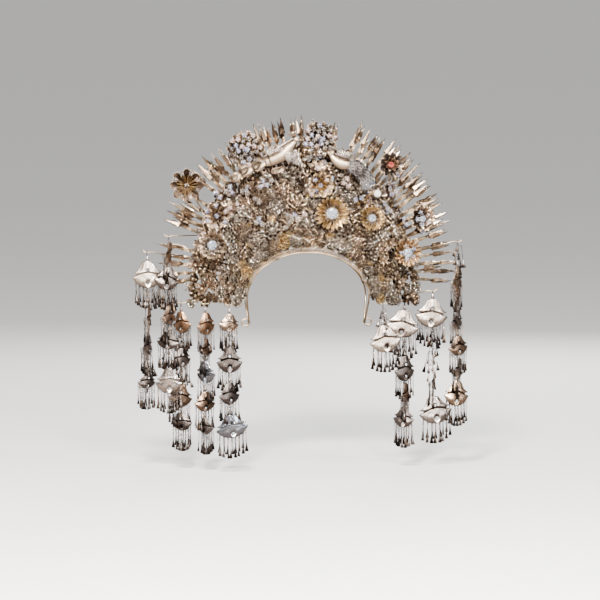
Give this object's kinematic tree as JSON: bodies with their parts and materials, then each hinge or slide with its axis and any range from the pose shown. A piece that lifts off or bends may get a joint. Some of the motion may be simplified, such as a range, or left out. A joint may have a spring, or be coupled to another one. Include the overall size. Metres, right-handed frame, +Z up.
{
  "type": "bridal crown",
  "caption": "Arched bridal headdress of gilt filigree flowers, birds and buds on a wire head arch, with side strings of bell plates.",
  "frame": {"origin": "underside of the head arch at its crown, midway across, where the crown sits on the hair", "axes": "+Z up, -Y to the front, +X to the right as the picture shows it"},
  "size_m": [0.4639, 0.0765, 0.4578],
  "materials": {
    "wire": "thin gilt wire, worn",
    "gilt": "pale silver-gilt filigree, bright edges and dark hollows",
    "ochre_gilt": "warmer gilding round the stones",
    "pale_gilt": "pale silver-gilt",
    "silver": "embossed silver-gilt sheet, lightly tarnished",
    "dark_silver": "tarnished silver sheet with bright high spots",
    "clear_stone": "faceted clear paste stone, foil backed",
    "red_stone": "faceted reddish stone",
    "pearl": "pearl lustre"
  },
  "bodies": {
    "crown": {"head_frame": "wire", "fan_frame": "wire", "laca_row": "gilt", "flower_row_1": "gilt", "flower_row_2": "gilt", "flower_row_3": "gilt", "flower_row_4": "gilt", "flower_row_5": "gilt", "rosette_centre": "ochre_gilt", "rosette_left_lower": "ochre_gilt", "rosette_right_inner": "ochre_gilt", "rosette_right_lower": "ochre_gilt", "rosette_right_rim": "ochre_gilt", "rosette_right_upper": "ochre_gilt", "rosette_pearl": "ochre_gilt", "rosette_crown_left": "pale_gilt", "rosette_crown_top": "pale_gilt", "rosette_daisy": "pale_gilt", "rosette_gold": "pale_gilt", "rosette_left_upper": "pale_gilt", "bird_left": "silver", "bird_right": "silver", "spray_right_low": "silver", "spray_right_middle": "silver", "spray_right_upper": "silver", "spray_top_right": "silver", "spray_top_centre": "silver", "spray_top_left": "silver", "spray_left_upper": "silver", "spray_left_middle": "silver", "spray_left_low": "silver", "pendant_left_1": "dark_silver", "pendant_left_2": "dark_silver", "pendant_left_3": "dark_silver", "pendant_left_4": "dark_silver", "pendant_left_5": "dark_silver", "pendant_right_2": "dark_silver", "pendant_right_3": "dark_silver", "pendant_right_4": "dark_silver", "stone_left": "clear_stone", "stone_centre": "clear_stone", "stone_right_inner": "clear_stone", "stone_right_rim": "clear_stone", "stone_right_lower": "clear_stone", "red_stone": "red_stone", "pearl": "pearl"},
    "inner_pendant": {"pendant_right_inner": "dark_silver"}
  },
  "joints": [
    {"name": "inner_pendant_swing", "type": "hinge", "parent": "crown", "child": "inner_pendant", "pos_m": [0.103, -0.022, -0.07], "axis": [1, 0, 0], "range_deg": [-35, 20]}
  ]
}
